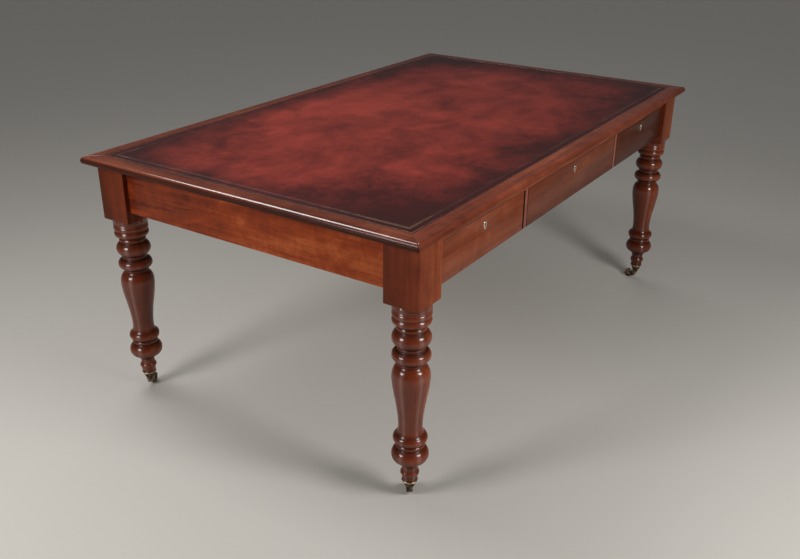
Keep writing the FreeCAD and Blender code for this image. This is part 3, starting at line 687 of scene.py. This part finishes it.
# The legs, each one piece of mahogany: a square block with eased arrises, and below it a
# turned stretch of rings, bulbs and a long baluster, ending in a foot inside the castor's
# cup. The outline gives each point's drop and radius as shares of the turned stretch.
corners = ("front_left", "front_right", "back_left", "back_right")
block_half = 0.050
block_height = 0.168
block_ease = 0.0011
block_colours = ((0.030, 0.006, 0.002), (0.125, 0.021, 0.006), (0.310, 0.075, 0.020))
block_gloss = 0.15
turned_radius = 0.0495
turned_colours = ((0.030, 0.004, 0.001), (0.128, 0.019, 0.004), (0.350, 0.080, 0.019))
turned_gloss = 0.75
lathe_sheen = (1.0, 0.80, 0.72)
leg_ring_points = 120
corner_points = 7
block_rings = 7
arc_rings = 15
baluster_rings = 61
hollow_reach = 0.0065
hollow_depth = 0.0095
castor_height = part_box("castor_cup_front_left")[1].z

turned_outline_shares = [
    ("line", [(0.028, 0.990), (0.030, 0.965), (0.032, 0.965), (0.034, 0.990)]),
    ("line", [(0.040, 0.990), (0.042, 0.945)]),
    ("arc", [(0.0555, 1.0), (0.069, 0.945)]),
    ("line", [(0.072, 0.925), (0.075, 0.930)]),
    ("arc", [(0.091, 1.0), (0.107, 0.889)]),
    ("line", [(0.1145, 0.747), (0.120, 0.717)]),
    ("arc", [(0.130, 0.778), (0.139, 0.737)]),
    ("line", [(0.145, 0.717)]),
    ("arc", [(0.187, 0.998), (0.224, 0.727)]),
    ("line", [(0.234, 0.707), (0.243, 0.707), (0.2505, 0.747)]),
    ("arc", [(0.259, 0.919), (0.2805, 0.988)]),
    ("arc", [(0.294, 0.953), (0.3025, 0.808)]),
    ("line", [(0.304, 0.727)]),
    ("arc", [(0.3125, 0.764), (0.320, 0.717)]),
    ("line", [(0.328, 0.677), (0.332, 0.677)]),
    ("curve", [(0.341, 0.798), (0.363, 0.935), (0.394, 0.988), (0.435, 0.962),
               (0.4855, 0.885), (0.532, 0.798), (0.5825, 0.711), (0.633, 0.6505),
               (0.664, 0.630), (0.691, 0.638), (0.709, 0.679), (0.7215, 0.768)]),
    ("arc", [(0.742, 0.905), (0.767, 0.778)]),
    ("line", [(0.771, 0.717), (0.776, 0.707)]),
    ("arc", [(0.7845, 0.758), (0.793, 0.717)]),
    ("line", [(0.799, 0.697)]),
    ("arc", [(0.842, 0.982), (0.878, 0.778)]),
    ("arc", [(0.894, 0.535), (0.913, 0.420)]),
    ("line", [(0.926, 0.404), (0.936, 0.424), (0.942, 0.4505)]),
    ("arc", [(0.955, 0.501), (0.968, 0.440)]),
    ("line", [(0.979, 0.414), (1.0, 0.400)]),
]
turned_start_share = 0.990
foot_shares = [(1.001, 0.329), (1.03, 0.252)]


def arc_through(start, middle, end, count):
    """Points on the circle through three points, from the first to the last."""
    a, b, c = (complex(*point) for point in (start, middle, end))
    w = (c - a) / (b - a)
    centre = (b - a) * (w - abs(w) ** 2) / (2j * w.imag) + a
    first = np.angle(a - centre)
    sweep = np.angle((c - centre) / (a - centre))
    through = np.angle((b - centre) / (a - centre))
    if sweep * through < 0 or abs(through) > abs(sweep):
        sweep -= math.copysign(2 * math.pi, sweep)
    points = centre + abs(a - centre) * np.exp(1j * (first + sweep * np.linspace(0, 1, count)))
    return np.stack([points.real, points.imag], -1)


def smooth_through(points, count):
    """A cubic between each pair of points, with each slope taken from its neighbours."""
    drop, radius = np.array(points).T
    slope = np.gradient(radius, drop)
    place = np.linspace(drop[0], drop[-1], count)
    k = np.clip(np.searchsorted(drop, place, "right") - 1, 0, len(drop) - 2)
    gap = drop[k + 1] - drop[k]
    t = (place - drop[k]) / gap
    value = (2 * t ** 3 - 3 * t ** 2 + 1) * radius[k] + (t ** 3 - 2 * t ** 2 + t) * gap * slope[k]
    value += (3 * t ** 2 - 2 * t ** 3) * radius[k + 1] + (t ** 3 - t ** 2) * gap * slope[k + 1]
    return np.stack([place, value], -1)


def turned_outline(top, length):
    """Radius and level from the block to the foot. Each run starts where the last ended: an
    arc through two more points, a smooth curve through many, or straight lines."""
    aspect = np.array([length, turned_radius])
    here = np.array([0.0, turned_start_share]) * aspect
    runs = [here[None]]
    for kind, shares in turned_outline_shares + [("line", foot_shares)]:
        points = np.array(shares) * aspect
        if kind == "arc":
            runs.append(arc_through(here, points[0], points[1], arc_rings)[1:])
        elif kind == "curve":
            runs.append(smooth_through([here, *points], baluster_rings)[1:])
        else:
            runs.append(points)
        here = points[-1]
    outline = np.concatenate(runs)
    return outline[:, 1], top - outline[:, 0]


def round_square():
    """Directions round a unit square with eased corners: each corner is a quarter circle and
    the straight sides are divided evenly. The same directions, normalised, make a circle."""
    ease = block_ease / block_half
    side_points = leg_ring_points // 4 - corner_points
    straight = np.linspace(-1 + ease, 1 - ease, side_points + 2)[1:-1]
    side = np.stack([np.full_like(straight, 1.0), straight], -1)
    angle = np.linspace(0, math.pi / 2, corner_points)
    corner = 1 - ease + ease * np.stack([np.cos(angle), np.sin(angle)], -1)
    first = np.concatenate([side, corner])
    turns = [np.array([[0, 1], [-1, 0]]), -np.eye(2), np.array([[0, -1], [1, 0]])]
    return np.concatenate([first] + [first @ turn for turn in turns])


def leg_rings(centre_x, centre_y, block_low, block_high):
    """Rings from the top down: round squares times the block's half width, drawn in by a
    quarter circle at its upper and lower edges, then circles times the turning's radius."""
    square = round_square()
    circle = square / np.linalg.norm(square, axis=1)[:, None]
    angle = np.radians([90, 60, 30, 0])
    drawn_in = block_ease * (1 - np.cos(angle))
    down = block_ease * (1 - np.sin(angle))
    levels = np.linspace(block_high - block_ease, block_low + block_ease, block_rings + 2)[1:-1]
    half = np.concatenate([block_half - drawn_in, np.full(block_rings, block_half),
                           block_half - drawn_in[::-1]])
    block = [*(block_high - down), *levels, *(block_low + down[::-1])]
    radii, heights = turned_outline(block_low, block_low - castor_height)
    flat = np.concatenate([square * half[:, None, None], circle * radii[:, None, None]])
    level = np.concatenate([block, heights])[:, None, None]
    level = np.broadcast_to(level, (*flat.shape[:2], 1))
    return np.concatenate([flat + (centre_x, centre_y), level], -1)


def hollow_shares(rings):
    """For each point, how deep its ring lies below the largest ring within reach: 0 on the
    crowns and the block, and 1 where the turning is cut in by the full depth."""
    reach = np.abs(rings[:, :, :2] - rings[:, :, :2].mean(1, keepdims=True)).max((1, 2))
    level = rings[:, 0, 2]
    near = np.abs(level[:, None] - level) < hollow_reach
    crown = np.where(near, np.minimum(reach, turned_radius)[None, :], 0).max(1)
    depth = np.clip((crown - reach) / hollow_depth, 0, 1)
    return np.repeat(depth, rings.shape[1])


for index, corner in enumerate(corners):
    low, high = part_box("castor_cup_" + corner)
    leg_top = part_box("leg_" + corner)[1].z
    centre = (low + high) / 2
    block_low = leg_top - block_height
    rings = leg_rings(centre.x, centre.y, block_low, leg_top)
    grain = {
        "along": 2,
        "shift": (index * 3.0, index * 5.0, index * 1.7),
        "figure": 0.7,
        "spread": 0.24,
        # Painted light and shade: each leg's wood is lighter towards +X and -Y, and darker towards
        # -X and +Y.
        "shade_drifts": (("X", 1.4, centre.x), ("Y", -1.4, centre.y)),
    }
    block_wood = mahogany("leg_" + corner + "_block_wood", colours=block_colours,
                          gloss=block_gloss, **grain)
    turned_wood = mahogany("leg_" + corner + "_turned_wood", colours=turned_colours,
                           gloss=turned_gloss, sheen=lathe_sheen, **grain)
    leg = make_piece("turned_leg_" + corner, *closed_bar(rings), "desk", "mahogany", block_wood)
    leg.data.materials.append(turned_wood)
    turned_faces = np.repeat(rings[1:, 0, 2] < block_low, rings.shape[1]).tolist() + [False, True]
    leg.data.polygons.foreach_set("material_index", turned_faces)
    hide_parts("leg_" + corner)
    # How deep each ring lies in a hollow; the turned wood is darkened there, partly old finish and
    # partly painted shade.
    hollow = leg.data.attributes.new("hollow", "FLOAT", "POINT")
    hollow.data.foreach_set("value", hollow_shares(rings))


# The end rails: one wide board of flame-figured mahogany at each end, set back between the
# leg blocks and tenoned into them.
flame_colours = ((0.070, 0.010, 0.003), (0.205, 0.032, 0.007), (0.390, 0.100, 0.026))
flame_figure = 2.4
rail_gloss = 0.15
rail_ease = 0.0007
merge_distance = 1e-6
flat_angle = math.radians(0.5)
sharp_angle = math.radians(32)
ease_segments = 2


def eased_copy(node, name, material, ease):
    """A piece as it was built, its loose triangles merged into whole faces, with a small
    round worked along every sharp edge."""
    shell = bmesh.new()
    shell.from_mesh(frame["nodes"][node].data)
    bmesh.ops.remove_doubles(shell, verts=shell.verts, dist=merge_distance)
    bmesh.ops.dissolve_limit(shell, angle_limit=flat_angle, verts=shell.verts, edges=shell.edges)
    mesh = bpy.data.meshes.new(name)
    shell.to_mesh(mesh)
    shell.free()
    mesh.polygons.foreach_set("use_smooth", [True] * len(mesh.polygons))
    mesh.materials.clear()
    mesh.materials.append(material)
    piece = bpy.data.objects.new(name, mesh)
    scene.collection.objects.link(piece)
    round_over = piece.modifiers.new("eased_edges", "BEVEL")
    round_over.width = ease
    round_over.segments = ease_segments
    round_over.limit_method = "ANGLE"
    round_over.angle_limit = sharp_angle
    round_over.harden_normals = True
    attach(piece, frame["nodes"][node]["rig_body"])
    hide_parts(node)
    return piece


for index, end in enumerate(("left", "right")):
    # Painted shade: each rail's wood darkens towards +Y.
    wood = mahogany("end_rail_" + end + "_wood", 1, (0.0, 2.0 + index * 4.0, 7.0),
                    flame_colours, flame_figure, bias=-0.02, shade_drifts=(("Y", -0.20, 0.0),),
                    gloss=rail_gloss)
    eased_copy("end_rail_" + end, "flame_rail_" + end, wood, rail_ease)


# The top rails and the dividers: a thin mahogany rail over each row of drawers, just showing
# under the border, and upright dividers of the same wood between the drawers, tenoned into
# it and reaching down to the fronts' lower edge.
rail_colours = ((0.048, 0.009, 0.003), (0.170, 0.034, 0.010), (0.340, 0.085, 0.026))
divider_colours = ((0.080, 0.024, 0.014), (0.200, 0.060, 0.034), (0.330, 0.105, 0.060))
divider_half = 0.010
# The band, out from each divider's middle, that is darkened as painted shade.
cheek_shade_low = 0.0066
cheek_shade_high = 0.0078
sides = ("front", "back")
for index, side in enumerate(sides):
    wood = mahogany("top_rail_" + side + "_wood", 0, (index * 3.0, 4.0, 0.0), rail_colours)
    eased_copy("top_rail_" + side, "drawer_rail_" + side, wood, rail_ease)
divider_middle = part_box("drawer_dividers")[1].x - divider_half
# The dividers' sides beside the drawers get painted shade.
divider_wood = mahogany("divider_wood", 2, (1.0, 6.0, 2.0), divider_colours, figure=0.5,
                        cheek_shades=(divider_middle, cheek_shade_low, cheek_shade_high))
eased_copy("drawer_dividers", "divider_posts", divider_wood, rail_ease)


# The drawers: mahogany fronts cut from one figured board, lap-dovetailed to thin oak sides.
# The oak bottom lies in grooves, and the back stands on it. The front left drawer's front
# has shrunk, which leaves a wide gap at its right end.
front_ease = 0.0008
drawer_colours = ((0.055, 0.012, 0.006), (0.145, 0.034, 0.014), (0.260, 0.076, 0.034))
shrunk_front = "front_left"
shrinkage = 0.0050
# Each drawer's colours are scaled by its share, so the middle and right fronts on each side are
# painted darker: painted shade.
drawer_shade_tones = {"left": 1.0, "middle": 0.82, "right": 0.42}
oak_stops = [
    (0.0, (0.150, 0.080, 0.036)),
    (0.55, (0.300, 0.180, 0.085)),
    (1.0, (0.430, 0.280, 0.145)),
]
oak_ray = (0.500, 0.350, 0.200)
oak_relief = 0.00015


def oak(name, along, shift=(0.0, 0.0, 0.0)):
    """Waxed oak, darker along its rings, with pale flecks of ray across the grain."""
    finish = Timber(name, along, shift, Coat_Weight=0.05, Specular_IOR_Level=0.25)
    rings = finish.drawn_out(1.2, 55.0, 0.0, 3.0, 0.55, 0.3)
    streaks = finish.drawn_out(12.0, 420.0, 4.0, 3.0, 0.6)
    dirt = finish.drawn_out(5.0, 6.0, 7.0, 4.0, 0.6)
    tone = (rings * 0.45 + streaks * 0.25 + dirt * 0.30).between(0.34, 0.66)
    colour = finish.ramp(tone, oak_stops)
    fleck = finish.drawn_out(60.0, 130.0, 2.0, 1.0).between(0.66, 0.72)
    colour = finish.mix(fleck * 0.45, colour, oak_ray)
    finish.set(Base_Color=colour, Roughness=0.55 + dirt * 0.2)
    finish.bump(streaks * 0.7 + rings * 0.3, oak_relief)
    return finish.material


def draw_in(mesh, distance):
    """Moves the mesh's +X end inwards, as a board that has shrunk leaves a gap there."""
    places = np.empty(len(mesh.vertices) * 3)
    mesh.vertices.foreach_get("co", places)
    across = places[::3]
    across[across > across.max() - distance / 2] -= distance
    mesh.vertices.foreach_set("co", places)


def finish_as_built(node, material):
    """Gives its finish to a piece that keeps the shape it was built with."""
    materials = frame["nodes"][node].data.materials
    materials.clear()
    materials.append(material)


side_oak = oak("drawer_side_oak", 1)
bottom_oak = oak("drawer_bottom_oak", 0, (0.0, 3.0, 5.0))
for index, side in enumerate(sides):
    for place, tone in drawer_shade_tones.items():
        drawer = side + "_" + place
        wood = mahogany("drawer_" + drawer + "_wood", 0, (index * 7.0, 1.0 + index, 3.0),
                        toned(tone, drawer_colours), figure=1.2, spread=0.22)
        front = eased_copy("drawer_facing_" + drawer, "drawer_front_" + drawer,
                           wood, front_ease)
        if drawer == shrunk_front:
            draw_in(front.data, shrinkage)
        finish_as_built("drawer_box_" + drawer, side_oak)
        finish_as_built("drawer_bottom_" + drawer, bottom_oak)


# The locks: a brass case let into the back of each drawer front, with a bolt that rises into
# the rail above, and a small pear-shaped keyhole plate standing just proud of the polish.
plate_ease = 0.00035
lock_bright = (0.950, 0.860, 0.680)
lock_dull = (0.150, 0.085, 0.035)
rub_fade = 0.0005
brass_relief = 0.00008


def brass(name, tarnish, bright, dull, rubbed_above=None):
    """Lacquer-worn brass: bright where it is rubbed, brown where tarnish has crept in. Above
    a level, as on a rim that cloths and brooms reach, most of the tarnish is gone."""
    finish = Finish(name)
    creep = finish.noise(finish.place((1.0, 1.0, 1.0)), 60.0, 5.0, 0.65, 0.4)
    spots = finish.noise(finish.place((1.0, 1.0, 1.0), (3.0, 1.0, 2.0)), 420.0, 3.0, 0.6)
    brown = (creep * 0.75 + spots * 0.25 + (tarnish - 0.5)).between(0.42, 0.66)
    if rubbed_above:
        rubbed = finish.coordinate("Z").between(rubbed_above - rub_fade, rubbed_above)
        brown = brown * (1 - rubbed * 0.8)
    finish.set(Base_Color=finish.mix(brown, bright, dull))
    finish.set(Metallic=1 - brown * 0.25, Roughness=0.24 + brown * 0.26)
    finish.bump(spots * 0.5 + creep * 0.5, brass_relief)
    return finish.material


lock_brass = brass("lock_brass", 0.30, lock_bright, lock_dull)
for side in sides:
    for place in drawer_shade_tones:
        drawer = side + "_" + place
        eased_copy("lock_" + drawer, "lock_and_plate_" + drawer, lock_brass, plate_ease)
        eased_copy("lock_bolt_" + drawer, "bolt_" + drawer, lock_brass, plate_ease)


# The castors: a fluted brass cup on each foot; a cast brass horn, riveted through the cup's
# floor and free to swivel; and a brass wheel on a pin between the horn's cheeks.
flute_count = 12
flute_points = 16
flute_depth = 0.0011
flute_run_out = 9.0
flute_end_share = 1.06
flute_under_share = 0.4
collar_height = 0.0036
cup_mouth_share = 0.800
collar_mouth_share = 0.970
cup_waist_share = 0.870
cup_tip_share = 0.593
cup_under_share = 0.930
swivel_pin_share = 0.200
collar_rings = 9
collar_sweep_degrees = 80
cone_rings = 14
horn_voxel = 0.0005
horn_smoothing = 6
horn_relax_share = 0.5
wheel_ease = 0.0005
castor_bright = (0.640, 0.470, 0.290)
castor_dull = (0.045, 0.026, 0.016)
castor_brass = brass("castor_brass", 0.64, castor_bright, castor_dull,
                     rubbed_above=castor_height - collar_height)


def cup_shell(centre, low, high):
    """Rings from the collar's top down, each with a radius, a level and a share of the
    flutes: a collar rounded by a circle, then a cone whose radius dips by a raised cosine in
    each flute, then the underside drawn in to the swivel pin. The flutes run out under the
    collar, and shallow again towards the tip."""
    radius = (high.x - low.x) / 2
    collar_foot = high.z - collar_height
    angle = np.linspace(0, 2 * math.pi, flute_count * flute_points, endpoint=False)
    flute = flute_depth * (0.5 + 0.5 * np.cos(flute_count * angle)) ** 1.5
    top = [(radius * cup_mouth_share, high.z, 0),
           (radius * collar_mouth_share - collar_height / 3, high.z, 0)]
    sweep = np.linspace(-collar_sweep_degrees, collar_sweep_degrees, collar_rings)
    bulge = np.radians(sweep)
    collar = np.stack([radius - collar_height / 3 * (1 - np.cos(bulge)),
                       high.z - collar_height / 2 * (1 + np.sin(bulge)), bulge * 0], -1)
    slope = np.linspace(0, 1, cone_rings)
    fade = np.minimum(1, np.minimum(slope, flute_end_share - slope) * flute_run_out)
    cone = np.stack([radius * (cup_waist_share + (cup_tip_share - cup_waist_share) * slope),
                     collar_foot - (collar_foot - low.z) * slope, fade], -1)
    under = [(radius * cup_tip_share * cup_under_share, low.z, flute_under_share),
             (radius * swivel_pin_share, low.z, 0)]
    reach, level, share = np.concatenate([top, collar, cone, under]).T[..., None]
    around = reach - flute * share
    return np.stack([centre.x + around * np.cos(angle), centre.y + around * np.sin(angle),
                     np.broadcast_to(level, around.shape)], -1)


def cast_copy(node, name, material):
    """A casting: the built piece wrapped in a fine even mesh whose edges are then relaxed."""
    piece = eased_copy(node, name, material, horn_voxel)
    piece.modifiers.clear()
    wrap = piece.modifiers.new("wrap", "REMESH")
    wrap.mode = "VOXEL"
    wrap.voxel_size = horn_voxel
    wrap.use_smooth_shade = True
    relax = piece.modifiers.new("relax", "SMOOTH")
    relax.factor = horn_relax_share
    relax.iterations = horn_smoothing
    return piece


for corner in corners:
    low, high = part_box("castor_cup_" + corner)
    rings = cup_shell((low + high) / 2, low, high)
    cup = make_piece("fluted_cup_" + corner, *closed_bar(rings), "desk", "brass", castor_brass)
    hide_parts("castor_cup_" + corner)
    cast_copy("castor_fork_" + corner, "castor_horn_" + corner, castor_brass)
    eased_copy("castor_wheel_" + corner, "castor_roller_" + corner, castor_brass,
               wheel_ease)


# The carcase, of plain pine, planed and left dry: the board under the leather, the rails and
# runners that the drawers slide on, the kickers above them and the rail along the middle.
pine_stops = [
    (0.0, (0.130, 0.068, 0.028)),
    (0.5, (0.290, 0.165, 0.070)),
    (1.0, (0.430, 0.270, 0.125)),
]
pine_relief = 0.0002
ring_waves = 60.0


def pine(name, along, shift=(0.0, 0.0, 0.0)):
    """Old dry pine: orange-brown summer rings in paler wood, and grey dirt in the hollows.
    The rings are a sine of slow noise, drawn out along the board."""
    finish = Timber(name, along, shift, Specular_IOR_Level=0.2)
    bands = finish.drawn_out(0.9, 26.0, 0.0, 2.0, 0.5, 0.25)
    rings = bands.math("SINE", bands * ring_waves)
    fibres = finish.drawn_out(16.0, 500.0, 3.0, 3.0, 0.6)
    dirt = finish.drawn_out(3.0, 4.0, 6.0, 4.0, 0.6)
    tone = (rings * 0.14 + fibres * 0.36 + dirt * 0.5).between(0.30, 0.68)
    finish.set(Base_Color=finish.ramp(tone, pine_stops), Roughness=0.72 + dirt * 0.15)
    finish.bump(fibres * 0.7 + rings * 0.3, pine_relief)
    return finish.material


long_pine = pine("long_pine", 0)
cross_pine = pine("cross_pine", 1, (2.0, 0.0, 4.0))
for node in ("top_board", "bottom_rail_front", "bottom_rail_back", "centre_rail"):
    finish_as_built(node, long_pine)
for node in ("drawer_runners", "kickers"):
    finish_as_built(node, cross_pine)


# The screws: slotted steel, blackened with age, driven up through the top rails into the
# board from pockets in the rails' undersides.
steel_colour = (0.300, 0.290, 0.280)
rust_colour = (0.130, 0.055, 0.025)
steel_relief = 0.00006


def old_steel():
    """Dark steel with a fine turned grain and a bloom of rust."""
    finish = Finish("old_steel", Specular_IOR_Level=0.5)
    bloom = finish.noise(finish.place((1.0, 1.0, 1.0)), 140.0, 5.0, 0.65).between(0.45, 0.70)
    grain = finish.noise(finish.place((1.0, 1.0, 1.0)), 900.0, 2.0)
    finish.set(Base_Color=finish.mix(bloom, steel_colour, rust_colour))
    finish.set(Metallic=1 - bloom * 0.8, Roughness=0.35 + bloom * 0.35)
    finish.bump(grain * 0.4 + bloom * 0.6, steel_relief)
    return finish.material


finish_as_built("top_screws", old_steel())
